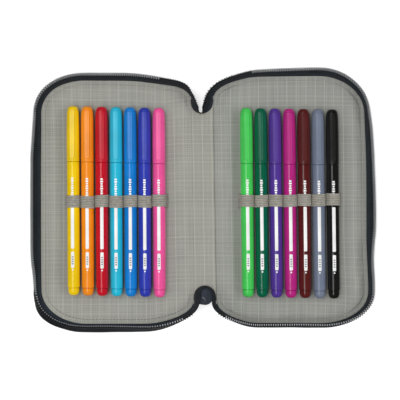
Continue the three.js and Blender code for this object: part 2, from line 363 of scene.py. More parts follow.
def fabric_material(name, dark, light, pitch):
    """A plain woven fabric, with a painted highlight on the top of each yarn."""
    shader = Shader(name, 0.85, sheen_weight=0.05, sheen_roughness=0.45, specular_ior_level=0.2)
    u, v = shader.flat_coordinates()
    cloudy = shader.noise(shader.place(), 0.12, 4.0)
    height = weave_height(shader, u, v, pitch)
    faded = [0.6 * d + 0.4 * t for d, t in zip(dark, light)]
    # Painted highlight: the high points of the weave are mixed towards the lighter colour.
    painted_highlight = shader.times(shader.remap(height, 0.25, 0.9), 0.7)
    shader.colour(shader.mix(painted_highlight, shader.cloudy_mix(cloudy, dark, faded), light))
    shader.roughness(cloudy, 0.2, 0.8, 0.75, 0.93)
    shader.relief(height, 0.6, pitch * 0.3)
    return shader.material


def tape_material(name, dark, light):
    """Zip tape: a herringbone in narrow bands that run along the tape."""
    shader = Shader(name, 0.8, sheen_weight=0.04, specular_ior_level=0.2)
    u, v = shader.flat_coordinates()
    band = shader.math("PINGPONG", v, 1.1)
    ribs = shader.wave(shader.math("ADD", u, shader.times(band, 0.9)), 0.75)
    seams = shader.line(v, 1.1, 0.3)
    cloudy = shader.noise(shader.place(), 0.15)
    base = shader.mix(shader.times(ribs, shader.remap(cloudy, 0.3, 0.7, 0.5, 1.0)), dark, light)
    shader.colour(shader.mix(shader.times(seams, 0.6), base, toned(dark, 0.6)))
    shader.roughness(ribs, 0.0, 1.0, 0.86, 0.72)
    shader.relief(shader.math("SUBTRACT", ribs, shader.times(seams, 0.5)), 0.7, 0.2)
    return shader.material


def elastic_material(name, dark, light):
    """Ribbed elastic: fine cross threads, with painted shade in the grooves between the ribs."""
    shader = Shader(name, 0.85, sheen_weight=0.15)
    u, v = shader.flat_coordinates()
    threads = shader.wave(u, 0.5)
    from_rib = shader.math("PINGPONG", shader.math("ADD", v, BAND_HALF), BAND_HALF / RIBS)
    base = shader.cloudy_mix(shader.noise(shader.place(), 0.4), dark, light)
    base = shader.mix(shader.times(threads, 0.35), base, toned(light, 1.08))
    # Painted shade: darker in the grooves between the ribs.
    shader.colour(shader.mix(shader.times(shader.remap(from_rib, 0.28, 0.06), 0.75), base, toned(dark, 0.55)))
    shader.relief(threads, 0.5, 0.12)
    return shader.material


def plastic_material(name, colour, roughness=0.18):
    """Moulded gloss plastic with faint flow marks and handling scuffs."""
    shader = Shader(name, roughness, specular_ior_level=0.5)
    place = shader.place()
    flow = shader.noise(place, 0.06, 2.0)
    scuffs = shader.noise(place, 0.35, 4.0, 0.6)
    shader.colour(shader.cloudy_mix(flow, toned(colour, 0.95), colour, 0.35, 0.65))
    shader.roughness(scuffs, 0.35, 0.75, roughness - 0.03, roughness + 0.08)
    shader.relief(scuffs, 0.03, 0.03)
    return shader.material


def coated_material(name, colour, roughness, metallic):
    """Painted metal or hard plastic, with a fine grain and slightly paler wear."""
    shader = Shader(name, roughness, metallic)
    place = shader.place()
    grains = shader.noise(place, 1.2, 5.0, 0.6)
    wear = shader.noise(place, 0.25, 4.0)
    shader.colour(shader.mix(shader.remap(wear, 0.45, 0.75, 0.0, 0.6), colour, toned(colour, 1.45, 12)))
    shader.roughness(grains, 0.3, 0.7, roughness - 0.08, roughness + 0.14)
    shader.relief(grains, 0.15, 0.05)
    return shader.material


def fibre_material(name, dark, light, scale, strength=0.5):
    """Felt, wadding or cardboard: short fibres at random."""
    shader = Shader(name, 0.95, sheen_weight=0.1)
    fibres = shader.noise(shader.place(), scale, 6.0, 0.7)
    shader.colour(shader.cloudy_mix(fibres, dark, light, 0.35, 0.65))
    shader.relief(fibres, strength, 0.2)
    return shader.material


def thread_material(name, dark, light):
    shader = Shader(name, 0.7, sheen_weight=0.2)
    fibres = shader.noise(shader.place(), 3.0)
    shader.colour(shader.cloudy_mix(fibres, dark, light, 0.35, 0.65))
    shader.relief(fibres, 0.4, 0.05)
    return shader.material


PEN_COLOURS = {
    "yellow": (246, 208, 8), "orange": (250, 146, 26), "red": (200, 14, 38), "turquoise": (38, 188, 218),
    "sky_blue": (18, 128, 212), "dark_blue": (48, 62, 178), "pink": (246, 88, 160),
    "light_green": (72, 206, 90), "dark_green": (4, 98, 70), "violet": (82, 54, 148),
    "magenta": (184, 36, 128), "brown": (88, 28, 26), "grey": (116, 126, 146), "black": (26, 26, 24),
}
# One lining fabric in three tints: the differences are painted light and shade, the right leaf darker than
# the left leaf and the spine.
LINING = {"left": (158, 158, 151), "right": (152, 153, 147), "spine": (158, 157, 149)}
NAVY_DARK, NAVY_LIGHT = (30, 35, 42), (61, 70, 79)

materials = {
    "gusset": fabric_material("gusset_canvas", NAVY_DARK, NAVY_LIGHT, 0.75),
    # The case's outer canvas, darker than the gusset's navy: painted shade against the light the bright floor
    # throws on the case's outside.
    "cover": fabric_material("shaded_cover_canvas", (11, 14, 19), (25, 30, 37), 0.9),
    "tab": fabric_material("tab_canvas", (43, 48, 57), (84, 90, 102), 0.6),
    "tape": tape_material("zip_tape_weave", (22, 27, 32), (50, 58, 66)),
    # A darker copy of the zip tape for its outer face: painted shade.
    "shaded_tape": tape_material("zip_tape_back", (10, 13, 17), (26, 31, 37)),
    "teeth": coated_material("zip_coil_nylon", (16, 18, 21), 0.45, 0.0),
    # Pale beads on the coil's loops, a painted glint on each crown.
    "coil_glint": thread_material("coil_glint", (198, 201, 204), (228, 231, 234)),
    "elastic": elastic_material("ribbed_elastic", (138, 135, 126), (172, 168, 158)),
    "lining_thread": thread_material("lining_thread", (128, 126, 119), (156, 154, 147)),
    # The lining's stitches near the lower edge, darker: painted shade.
    "shaded_lining_thread": thread_material("shaded_lining_thread", (84, 82, 78), (112, 110, 104)),
    "navy_thread": thread_material("navy_thread", (34, 38, 45), (64, 70, 80)),
    "board": fibre_material("grey_board", (150, 136, 110), (186, 172, 142), 0.8),
    "wadding": fibre_material("wadding", (212, 210, 202), (240, 238, 232), 0.5, 0.9),
    "label": plastic_material("label_print", (246, 246, 245), 0.28),
    "mark": plastic_material("mark_print", (150, 152, 156), 0.4),
    "slider": coated_material("slider_enamel", (36, 40, 46), 0.38, 0.55),
    # A pale cord along the tab's fold: a painted highlight on its edge.
    "slit": coated_material("tab_fold_highlight", (150, 154, 160), 0.5, 0.0),
}
for side_name, tint in LINING.items():
    materials[side_name + "_lining"] = lining_material(side_name + "_lining_check", tint)
for colour_name, colour_value in PEN_COLOURS.items():
    materials[colour_name] = plastic_material("plastic_" + colour_name, colour_value)
    materials[colour_name + "_cap"] = plastic_material("cap_plastic_" + colour_name, colour_value, 0.32)
    materials[colour_name + "_felt"] = fibre_material("felt_" + colour_name, toned(colour_value, 0.5),
                                                      toned(colour_value, 0.75), 2.0)


# ---------------------------------------------------------------- the edge of a leaf
def top_outline(node):
    """The points of a CAD panel's upper edge."""
    mesh = frame["nodes"][node].data
    points = np.array([v.co for v in mesh.vertices]) / MM
    top = points[points[:, 2] > points[:, 2].max() - 0.05][:, :2]
    return np.unique(top.round(3), axis=0)


def edge_path():
    """The lining's edge on the right half, from the middle of the top notch to that of the lower one."""
    notch = top_outline("spine_lining")
    notch = notch[(notch[:, 0] >= -0.01) & (notch[:, 1] > 0)]
    notch = notch[np.argsort(notch[:, 1])]
    leaf = top_outline("right_lining")
    angle = np.arctan2(leaf[:, 1], leaf[:, 0] - leaf[:, 0].mean())
    leaf = leaf[np.argsort(-((angle - angle[np.argmin(leaf[:, 0] - leaf[:, 1] * 0.01)]) % (2 * math.pi)))]
    start = int(np.argmin(np.hypot(leaf[:, 0] - notch[-1, 0], leaf[:, 1] - notch[-1, 1])))
    leaf = np.roll(leaf, -start, axis=0)
    lower = notch[::-1] * (1, -1)
    return evenly(catmull(np.vstack([notch, leaf, lower])), 1.0)


EDGE = edge_path()
EDGE_LENGTH = lengths(EDGE)[-1]
EDGE_NORMALS = left_normals(EDGE)  # outwards


# Where the soft case lies a little off its drawn shape: x, y, reach in x, reach in y, and the drift there.
DRIFTS = (
    (122, 78, 30, 34, -1.0, -0.6),  # the upper right corner is pulled in
    (-24, 92, 17, 30, 0.0, -2.7),  # the left leaf's shoulder has slumped
    (-122, 0, 40, 60, 0.6, 0.0),
    (-116, 84, 20, 18, -0.8, 1.0),
    (-34, 90, 13, 14, 0.0, -0.7),
    (88, 97, 26, 22, 0.0, 0.5),
    (26, 92, 14, 18, 0.5, -0.6),
    (121, -68, 24, 26, 2.2, -1.9),  # the lower right corner is full
)


SPINE_SLANT = 2.1  # how far the spine's lower end has moved to the right
LEAF_SHIFT = 1.0  # both leaves, to the right
LEFT_SLIP = -2.1  # the left leaf, along the spine


def settle(vertices):
    """How the soft case lies a little askew: the spine aslant, and the leaves slipped along each other."""
    moved = np.array(vertices, float)
    x, y = moved[:, 0].copy(), moved[:, 1].copy()
    slant = np.clip((66 - y) / 132, 0, 1.1)
    moved[:, 0] += SPINE_SLANT * slant * (1 - smooth(np.abs(x), 14, 50))
    moved[:, 0] += LEAF_SHIFT * (smooth(-x, 30, 100) + smooth(x, 30, 100))
    right_slip = -0.3 + 1.3 * np.clip(y / 90, -1, 1)
    moved[:, 1] += LEFT_SLIP * smooth(-x, 14, 45) + right_slip * smooth(x, 14, 45)
    for cx, cy, rx, ry, dx, dy in DRIFTS:
        near = np.exp(-((x - cx) / rx) ** 2 - ((y - cy) / ry) ** 2)
        moved[:, 0] += dx * near
        moved[:, 1] += dy * near
    return moved


# ---------------------------------------------------------------- flat panels
def distances(points, line):
    tree = tree_of(line)
    return np.array([tree.find((x, y, 0))[2] for x, y in points])


def twice_area(border):
    """Twice the area inside a border, above 0 where it runs anticlockwise."""
    x, y = border.T
    return x @ np.roll(y, -1) - y @ np.roll(x, -1)


def panel(border, rings, spacing, fixed=()):
    """A triangulated flat panel: points on insets of the border, then a staggered grid."""
    border = np.asarray(border)
    steps = np.roll(border, -1, axis=0) - np.roll(border, 1, axis=0)
    inward = np.stack([steps[:, 1], -steps[:, 0]], axis=1) * -np.sign(twice_area(border))
    inward /= np.linalg.norm(inward, axis=1)[:, None]
    dense = evenly(np.vstack([border, border[:1]]), 0.5)
    insets = []
    for depth in rings:
        ring = border + inward * depth
        insets.append(ring[distances(ring, dense) > depth * 0.93])
    low, high = border.min(0), border.max(0)
    rows = np.arange(low[1], high[1], spacing * 0.87)
    grid = np.array([(x + (k % 2) * spacing / 2, y) for k, y in enumerate(rows)
                     for x in np.arange(low[0], high[0], spacing)])
    grid = grid[distances(grid, dense) > rings[-1] + spacing * 0.6]
    points = [Vector(p) for p in np.vstack([border, *insets, grid, *fixed])]
    made = delaunay_2d_cdt(points, [], [list(range(len(border)))], 1, 1e-4)
    return np.array([tuple(v) for v in made[0]]), [tuple(f) for f in made[2]]


CLOTH = {"quality": 6, "mass": 0.3, "tension_stiffness": 12, "compression_stiffness": 12,
         "shear_stiffness": 6, "bending_stiffness": 0.4, "vertex_group_mass": "held", "shrink_min": -0.012,
         "use_pressure": True, "uniform_pressure_force": 0.9}
CLOTH_FRAMES = 20


def swell(points, heights, faces, pinned):
    """Cloth simulation: air lifts the panel where it isn't pinned. Returns how far each point moved."""
    scale = 10.0  # the solver works on a larger copy
    scene = bpy.context.scene
    mesh = bpy.data.meshes.new("swell")
    start = np.column_stack([points, heights]) * MM * scale
    mesh.from_pydata(start.tolist(), [], faces)
    cloth = placed("swell", mesh)
    group = cloth.vertex_groups.new(name="held")
    group.add([int(i) for i in np.flatnonzero(pinned)], 1.0, "REPLACE")
    modifier = cloth.modifiers.new("cloth", "CLOTH")
    for setting, value in CLOTH.items():
        setattr(modifier.settings, setting, value)
    modifier.settings.effector_weights.gravity = 0
    modifier.collision_settings.use_collision = False
    modifier.point_cache.frame_start, modifier.point_cache.frame_end = 1, CLOTH_FRAMES
    for number in range(1, CLOTH_FRAMES + 1):
        scene.frame_set(number)
    done = cloth.evaluated_get(bpy.context.evaluated_depsgraph_get()).to_mesh()
    end = np.array([v.co for v in done.vertices])
    cloth.to_mesh_clear()
    scene.frame_set(1)
    bpy.data.objects.remove(cloth)
    return (end - start) / MM / scale


def shell(points, top, bottom, faces, count):
    """A closed sheet from its upper and lower heights. The first count points are its border, in order."""
    upper = np.column_stack([points, top])
    lower = np.column_stack([points, bottom])
    size = len(points)
    walls = [(i, (i + 1) % count, (i + 1) % count + size, i + size) for i in range(count)]
    return np.vstack([upper, lower]), faces + [tuple(i + size for i in face[::-1]) for face in faces] + walls


def half_border(grow, inner_x):
    """The edge of one half, grown outwards, closed by a straight line at inner_x."""
    outer = EDGE + EDGE_NORMALS * grow
    outer = outer[outer[:, 0] >= inner_x]
    outer = evenly(outer, 1.3)
    first, last = outer[0].copy(), outer[-1].copy()
    first[0] = last[0] = inner_x
    inner = evenly(np.array([last, first]), 1.3)[1:-1]
    return np.vstack([first, outer[1:-1], last, inner])


def spine_border(grow, half_width):
    """The border of the panel between the creases."""
    top = EDGE[: len(EDGE) // 4] + EDGE_NORMALS[: len(EDGE) // 4] * grow
    top = top[top[:, 0] < half_width]
    corner = np.array([[half_width, top[-1, 1] + 0.6]])
    quarter = evenly(np.vstack([[[0, top[0, 1]]], top[1:], corner]), 1.3)
    right = evenly(np.array([quarter[-1], quarter[-1] * (1, -1)]), 1.3)[1:-1]
    half = np.vstack([quarter, right, (quarter * (1, -1))[::-1]])
    return np.vstack([half, (half * (-1, 1))[::-1][1:-1]])


def mirrored(points, sign):
    return np.asarray(points) * np.array([sign, 1, 1])[: np.shape(points)[1]]


def sewn_panel(name, points, heights, faces, border, look):
    """A closed sheet between two heights, settled. look is its material, crease angle and slot; the slot is
    not used.
    """
    top, bottom = heights
    vertices, faces = shell(points, top, bottom, faces, len(border))
    material, crease_angle, slot = look
    return new_piece(name, settle(vertices), faces, materials[material], np.vstack([points, points]) * MM,
                     crease_angle)


def declare_sheet(border):
    """Takes a sewn panel's border and turns it into metres; nothing more is done with it."""
    border = np.asarray(border) * MM


def bends(piece):
    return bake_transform(piece)


TUCK = 0.8  # how far a leaf's lining passes under the spine's
FOLDS = {"left": 0.25, "right": 0.95, "spine": 0.35}  # how deep the crease is
SEAM_DEPTH = 3.4  # the lining's stitch row, from its edge
LINING_RINGS = (0.35, 0.7, 1.05, 1.4, 1.8, 2.3, 2.9, 3.4, 3.9, 4.6, 5.8)
CREASE_COLUMNS = (0.0, 0.35, 0.8, 1.6, 2.4, 3.1, 3.8)
LINING_THICKNESS = 0.35


def pen_lanes(points, side):
    """1 in the band of the leaf that the pens slide along, and 0 to either side of it."""
    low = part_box(side + "_elastic")[0][0] / MM
    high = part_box(side + "_elastic")[1][0] / MM
    return smooth(points[:, 0], low - 6, low - 1) * (1 - smooth(points[:, 0], high + 1, high + 6))


def pen_zone(points, side):
    """1 where the pens lie, and 0 well away from them."""
    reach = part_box("pen_red_cap")[1][1] / MM
    return pen_lanes(points, side) * (1 - smooth(np.abs(points[:, 1]), reach + 2, reach + 7))


def wrinkle(points, spots):
    """Small pinched folds: each spot is x, y, length, width, angle in degrees, height."""
    total = np.zeros(len(points))
    for x, y, length, width, angle, height in spots:
        turn = math.radians(angle)
        along = (points[:, 0] - x) * math.cos(turn) + (points[:, 1] - y) * math.sin(turn)
        across = (points[:, 1] - y) * math.cos(turn) - (points[:, 0] - x) * math.sin(turn)
        ridge = bump(across, 0, width) - 0.7 * bump(across, 2.2 * width, width)
        total += height * bump(along, 0, length) * ridge
    return total


WRINKLES = {
    "left": [(-78, 77, 5, 0.9, 12, 1.2), (-70, 76, 4, 0.8, -14, 0.9), (-86, 75.5, 3, 0.7, 25, 0.7),
             (-60, 79, 3, 0.7, 5, 0.6), (-108, -60, 7, 1.2, 60, 0.4), (-24, 62, 6, 1.0, -55, 0.5)],
    "right": [(66, -86, 5, 0.8, 6, 1.1), (76, -85.5, 4, 0.7, -10, 1.0), (88, -86.5, 5, 0.8, 4, 0.9),
              (27, 66, 5, 1.0, 60, 0.9), (22, 60, 4, 0.9, 70, 0.6), (108, 62, 7, 1.2, 60, 0.4)],
}


def panel_relief(points, depth, crease, side):
    """Height of the lining above the case's flat: rolled edge, stitch row, crease and wrinkles."""
    pillow = 0.35 * smooth(depth, 3.6, 9)
    rolled = 0.25 * bump(depth, 0.75, 0.62) - 0.15 * bump(depth, 1.75, 0.35)
    seam = -0.1 * bump(depth, SEAM_DEPTH, 0.4)
    fold = -FOLDS[side] * bump(crease, 0, 0.45) - 0.12 * bump(crease, 3.0, 0.5)
    fold -= 0.5 * smooth(-crease, 0.05, 0.4)
    ripples = 0.07 * np.sin(points[:, 0] * 0.23 + 1.3) * np.sin(points[:, 1] * 0.17 + points[:, 0] * 0.05)
    return pillow + rolled + seam + fold + ripples + wrinkle(points, WRINKLES.get(side, []))


def lining(side):
    sign = SIDES[side]
    border = half_border(0, CREASE - TUCK)
    columns = [np.column_stack([np.full(130, CREASE + offset), np.linspace(-64, 64, 130)])
               for offset in CREASE_COLUMNS]
    points, faces = panel(border, LINING_RINGS, 2.6, columns)
    depth = distances(points, evenly(EDGE, 0.4))
    crease = points[:, 0] - CREASE
    points = mirrored(points, sign)
    base = np.full(len(points), LINING_TOP - 0.15)
    held = (depth < SEAM_DEPTH + 0.4) | (crease < 4)
    rise = swell(points, base, faces, held)
    highest = 0.9 - 1.15 * pen_lanes(points, side)  # it can't rise where the pens slide
    base = base + np.clip(rise[:, 2], -0.25, highest)
    points = points + np.clip(rise[:, :2], -0.3, 0.3)
    top = base + panel_relief(points, depth, crease, side)
    top = np.minimum(top, LINING_TOP + 1.3 - 1.25 * pen_zone(points, side))
    bottom = np.minimum(top, LINING_TOP) - LINING_THICKNESS
    piece = sewn_panel(side + "_lining_cloth", points, (top, bottom), faces, border,
                       (side + "_lining", 60, "lining_fabric"))
    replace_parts(bends(piece), side + "_lining")
    declare_sheet(border)
    return points, top


def spine_lining():
    border = spine_border(0, CREASE - 0.1)
    points, faces = panel(border, (0.4, 0.8, 1.3, 1.9, 2.6), 2.4)
    depth = distances(points, np.vstack([evenly(EDGE, 0.4) * s for s in ((1, 1), (-1, 1))]))
    crease = CREASE - np.abs(points[:, 0])
    top = LINING_TOP - 0.15 + panel_relief(points, depth, crease, "spine")
    bottom = np.full(len(points), LINING_TOP - 0.55)
    piece = sewn_panel("spine_lining_cloth", points, (top, bottom), faces, border,
                       ("spine_lining", 60, "lining_fabric"))
    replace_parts(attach(piece, "spine"), "spine_lining")
    declare_sheet(border)


COVER_GROWTH = 1.25  # how far a leaf's cover stands out past the lining's edge
COVER_LOOK = ("cover", 50, "outer_fabric")


def cover_floor(points):
    """Height of the cover's underside: on the table under a leaf, raised under the spine."""
    return 0.06 + 2.2 * (1 - smooth(np.abs(points[:, 0]), CREASE + 0.5, BLEND_END))


def cover(side):
    border = half_border(COVER_GROWTH, CREASE + 0.1)
    points, faces = panel(border, (0.4, 0.8, 1.3, 2.0, 3.2), 4.0)
    depth = distances(points, evenly(EDGE + EDGE_NORMALS * COVER_GROWTH, 0.4))
    points = mirrored(points, SIDES[side])
    low = cover_floor(points)
    bottom = low + 0.5 * bump(depth, 0, 0.45) + 0.12 * bump(depth, 2.0, 0.4)
    top = low + 0.78 - 0.2 * bump(depth, 0, 0.5)
    piece = sewn_panel(side + "_cover_cloth", points, (top, bottom), faces, border, COVER_LOOK)
    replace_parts(bends(piece), side + "_cover")
    declare_sheet(border)


def spine_cover():
    border = spine_border(1.0, CREASE - 0.1)
    points, faces = panel(border, (0.4, 0.9, 1.6), 3.0)
    crease = CREASE - np.abs(points[:, 0])
    bottom = cover_floor(points) + 0.25 * bump(crease, 0, 0.5)
    piece = sewn_panel("spine_cover_cloth", points, (bottom + 0.7, bottom), faces, border, COVER_LOOK)
    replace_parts(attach(piece, "spine"), "spine_cover")
    declare_sheet(border)


# ---------------------------------------------------------------- side walls
# How the wall stands: share of the way round from the top notch, how far its middle and its top lean out.
LEANS = {
    "left": ((0.0, 1.6, 3.4), (0.06, 1.7, 3.4), (0.13, 2.2, 4.9), (0.24, 2.4, 5.0), (0.30, 2.6, 4.2),
             (0.35, 2.9, 4.8), (0.42, 3.8, 7.0), (0.58, 3.9, 7.0), (0.60, 3.8, 6.8), (0.62, 3.6, 5.2),
             (0.645, 3.8, 4.4), (0.665, 5.8, 4.0), (0.685, 8.6, 4.0), (0.705, 8.3, 3.4), (0.725, 7.1, 2.6),
             (0.75, 5.9, 1.9), (0.80, 5.6, 1.7), (0.87, 5.2, 2.2), (0.91, 4.0, 2.8), (0.935, 2.8, 3.4),
             (0.95, 2.4, 4.2), (0.962, 2.6, 4.8), (0.972, 2.6, 5.2), (0.985, 2.2, 4.2), (1.0, 0.9, 1.5)),
    "right": ((0.0, 1.6, 3.4), (0.06, 1.8, 3.4), (0.13, 2.6, 4.2), (0.18, 3.0, 5.0), (0.24, 3.1, 5.6),
              (0.29, 2.6, 4.0), (0.335, 2.0, 2.6), (0.38, 2.8, 4.4), (0.45, 3.3, 5.2), (0.50, 3.4, 6.0),
              (0.55, 3.6, 6.2), (0.585, 3.0, 4.0), (0.61, 2.6, 3.2), (0.64, 2.6, 3.6), (0.66, 2.5, 3.4),
              (0.70, 2.4, 2.4), (0.75, 2.2, 1.2), (0.80, 2.0, 0.9), (0.87, 2.2, 1.2), (0.91, 2.0, 1.6),
              (0.945, 1.6, 3.0), (0.96, 2.2, 4.4), (0.975, 1.4, 2.2), (1.0, 0.9, 1.5)),
}
# In the top notch the two tape ends nearly meet: the x of their free edge at each y.
HORN_EDGES = {
    "left": ((64.6, 1.6), (70.1, 2.9), (78.2, 6.0), (85.8, 11.4), (90.2, 15.6)),
    "right": ((64.6, -0.2), (71.4, 0.4), (77.5, 2.4), (81.3, 4.7), (85.2, 8.9), (90, 14)),
}


def running_mean(values):
    return np.convolve(np.pad(values, 4, "edge"), np.ones(9) / 9, "valid")


def wall_sections(side):
    """For each station of the edge: its point, the way the wall leans, its line as (out, z), lengths up
    that line, and how much longer than drawn the wall is there."""
    table = np.array(LEANS[side])
    horn = np.array(HORN_EDGES[side])
    shares = lengths(EDGE) / EDGE_LENGTH
    belly, top = (running_mean(np.interp(shares, table[:, 0], column)) for column in table[:, 1:].T)
    made = []
    for i, (point, normal) in enumerate(zip(EDGE, EDGE_NORMALS)):
        x, y = point
        in_horn = float(1 - smooth(y, 79, 87)) if y > 0 and x < 20 else 0.0
        lean = unit((1 - in_horn) * normal + in_horn * np.array([-1.0, 0.0]))
        horn_top = max(0.05, x - np.interp(y, horn[:, 0], horn[:, 1]))
        reach = (1 - in_horn) * top[i] + in_horn * horn_top
        middle = (1 - in_horn) * belly[i] + in_horn * (0.5 + 0.45 * horn_top)
        end = min(shares[i], 1 - shares[i]) * EDGE_LENGTH
        length = 5.5 + (WALL_LENGTH - 5.5) * float(smooth(end, 0, 22))
        half = length / 2
        lower = max(half, (middle - 0.5) / 0.96)  # the wall is fuller where it bulges most
        z0 = LINING_TOP - 0.1
        z1 = z0 + math.sqrt(lower ** 2 - (middle - 0.5) ** 2)
        across = np.clip(reach - middle, -half * 0.9, half * 0.97)
        z2 = z1 + math.sqrt(half ** 2 - across ** 2)
        foot = 0.8 + 1.7 * float(1 - smooth(x, 9, 14))
        line = catmull([(0.95, foot), (0.6, foot * 0.3 + z0 * 0.7), (0.5, z0 + 0.3), (middle, z1),
                        (middle + across, z2)], steps=10)
        along = lengths(line)
        zero = np.interp(z0 + 0.3, line[:, 1], along) if line[-1, 1] > z0 else along[20]
        bare = 1 - float(smooth(shares[i] * EDGE_LENGTH, 6, 12))
        scale = (along[-1] - zero) / (WALL_LENGTH - 1.6 * bare)
        made.append((np.array([x, y]), lean, line, along - zero, scale))
    return made


def on_wall(section, up, off):
    """The point up the wall by a length and off it on its outer side, as (x, y, z), and the slope there."""
    point, lean, line, along, scale = section
    want = up * scale if up > 0 else up
    behind, (out, z), ahead = at_lengths(line, [want - 0.4, want, want + 0.4], along)
    slope = unit(ahead - behind) if np.abs(ahead - behind).sum() > 1e-6 else np.array([0.0, 1.0])
    out += slope[1] * off
    z -= slope[0] * off
    return np.array([*(point + lean * out), z]), np.array([*(lean * slope[0]), slope[1]])


RIPPLE = 0.14  # how far the wall's fabrics stray from flat


def strip(sections, ups, inner, outer):
    """A closed fabric strip along the wall between two offsets. Returns (vertices, faces, uv)."""
    rings, flats = [], []
    for i, section in enumerate(sections):
        s = i * EDGE_LENGTH / (len(sections) - 1)
        ring, flat = [], []
        for up, off in [(u, outer) for u in ups] + [(u, inner) for u in ups[::-1]]:
            wave = RIPPLE * math.sin(s * 0.21 + up * 0.5) * math.sin(s * 0.083 + 1.7)
            taper = 0.25 if up in (ups[0], ups[-1]) else 0.0
            toward = (outer - inner) * taper * (1 if off == inner else -1)
            ring.append(on_wall(section, up, off + toward + wave)[0])
            flat.append((s, up))
        rings.append(ring)
        flats.append(flat)
    vertices, faces = loft(rings)
    return vertices, faces, np.vstack(flats)


def straight_up(points):
    return np.tile([0.0, 0.0, 1.0], (len(points), 1))


STITCH_ARCH = np.array([-0.28, 0.04, 0.14, 0.04, -0.28])[:, None]  # how high a stitch stands along its length


def stitches(points, ups, length=1.9, radius=0.2, pitch=2.6):
    """Stitches along a line of points, each a short arched capsule. ups is the way out of the cloth."""
    along = lengths(points)
    made = []
    for start in np.arange(0, along[-1] - length, pitch):
        ends = start + np.linspace(0, length, len(STITCH_ARCH))
        line = at_lengths(points, ends) + at_lengths(ups, ends, along) * STITCH_ARCH
        made.append(tube(line, radius, 6, up=(0.01, 0.02, 1)))
    return merge(made)


GUSSET_UPS = (-3.9, -3.7, -2.9, -2.6, -2.3, -1.4, -0.4, 0.3, 1.2, 2.4, 3.6, 4.4, 4.7, 5.0, 5.4, 5.6)
TAPE_UPS = (3.3, 3.5, 4.6, 5.6, 6.6, 7.6, 8.4, 9.2, 10.0, 10.6, 10.8)


def wall_strip(name, side, sections, ups, offsets, looks):
    """A strip of fabric round a leaf. looks names the materials of its inner and its outer face."""
    vertices, faces, flat = strip(sections, ups, *offsets)
    piece = new_piece(side + name, settle(mirrored(vertices, SIDES[side])), faces, materials[looks[0]],
                      flat * MM, 50)
    second_material(piece, looks[1], [i % (2 * len(ups)) < len(ups) for i in range(len(faces))])
    return bends(piece)


def walls(side, sections):
    # The outer faces take darker fabrics than the inner faces: painted shade against the light the bright
    # floor throws on the walls' outside.
    gusset = wall_strip("_gusset_cloth", side, sections, GUSSET_UPS, (-0.05, 0.72), ("gusset", "cover"))
    replaced = [side + "_gusset"] + (["zip_end_gusset"] if side == "right" else [])
    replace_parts(gusset, *replaced)
    tape = wall_strip("_zip_tape_cloth", side, sections, TAPE_UPS, (-0.72, -0.12), ("tape", "shaded_tape"))
    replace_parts(tape, side + "_zip_tape", side + "_tape_end")


def section_at(sections, s):
    """The section at a length along the edge, between two stations."""
    place = s / EDGE_LENGTH * (len(sections) - 1)
    i = min(int(place), len(sections) - 2)
    t = place - i
    return tuple((1 - t) * p + t * q for p, q in zip(sections[i], sections[i + 1]))


TOOTH_PITCH = 1.7
# A loop of the coil round the tape's edge, and the painted glint on its crown: (up the wall, off it).
LOOP_LINE = np.array([(8.5, -1.0), (9.6, -1.08), (10.4, -0.9), (10.72, -0.35), (10.4, 0.28), (9.6, 0.32)])
LOOP_RADII = (0.34, 0.38, 0.44, 0.44, 0.42, 0.34)
TURNED_OVER = np.outer((0, 0.2, 0.8, 1.2, 0.8, 0.2), (1.0, 0.0))
CROWN_LINE = ((9.7, -1.5), (10.3, -1.52), (10.85, -1.2), (11.1, -0.6))
TEETH_FROM, TEETH_TO = 9.0, 24.0  # left bare at the top end and at the lower end
# Where the painted glints sit on the loops, and where the free edge turns over so that whole loops show.
CROWNS = {"left": (46, 30), "right": (50, 28)}
SHOWN_LOOPS = {"left": (9, 15), "right": (14, 37)}


def teeth(side, sections):
    """The coil: a nylon loop at each pitch that wraps the tape's edge, and a pale bead on the crown of each
    loop, which is a painted glint.
    """
    sign = SIDES[side]
    loops, crown_glints = [], []
    for s in np.arange(TEETH_FROM, EDGE_LENGTH - TEETH_TO, TOOTH_PITCH):
        section = section_at(sections, s)
        shown = SHOWN_LOOPS[side][0] < s < SHOWN_LOOPS[side][1]
        line = [on_wall(section, up, off)[0] for up, off in LOOP_LINE + TURNED_OVER * shown]
        across = np.array([*(-section[1][::-1] * (1, -1)), 0.0])
        loops.append(tube(line, LOOP_RADII, 7, up=across))
        # A pale bead along the loop's crown: a painted glint.
        if CROWNS[side][0] < s < EDGE_LENGTH - CROWNS[side][1]:
            crown_glints.append(tube([on_wall(section, up, off)[0] for up, off in CROWN_LINE], 0.29, 6, up=across))
    vertices, faces = merge(loops)
    coil = new_piece(side + "_zip_teeth", settle(mirrored(vertices, sign)), faces, materials["teeth"])
    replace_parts(bends(coil), side + "_zip_coil")
    vertices, faces = merge(crown_glints)
    vertices = settle(mirrored(vertices, sign))
    bends(new_piece(side + "_coil_glint", vertices, faces, materials["coil_glint"]))


STITCH_ROWS = (-2.6, 4.7)  # how far up the wall each row runs


def wall_stitches(side, sections):
    """Two rows on the gusset: along its foot and just under the tape."""
    sign = SIDES[side]
    leans = np.array([section[1] for section in sections[8:-8]])
    along = np.column_stack([leans[:, 1], -leans[:, 0], np.zeros(len(leans))])
    rows = []
    for up in STITCH_ROWS:
        found = np.array([on_wall(section, up, 0.66) for section in sections[8:-8]])
        out = np.cross(along, found[:, 1])
        out *= np.sign(np.sum(out[:, :2] * leans, axis=1))[:, None]
        rows.append(stitches(settle(mirrored(found[:, 0], sign)), mirrored(out, sign), radius=0.17))
    vertices, faces = merge(rows)
    bends(new_piece(side + "_gusset_stitches", vertices, faces, materials["navy_thread"]))


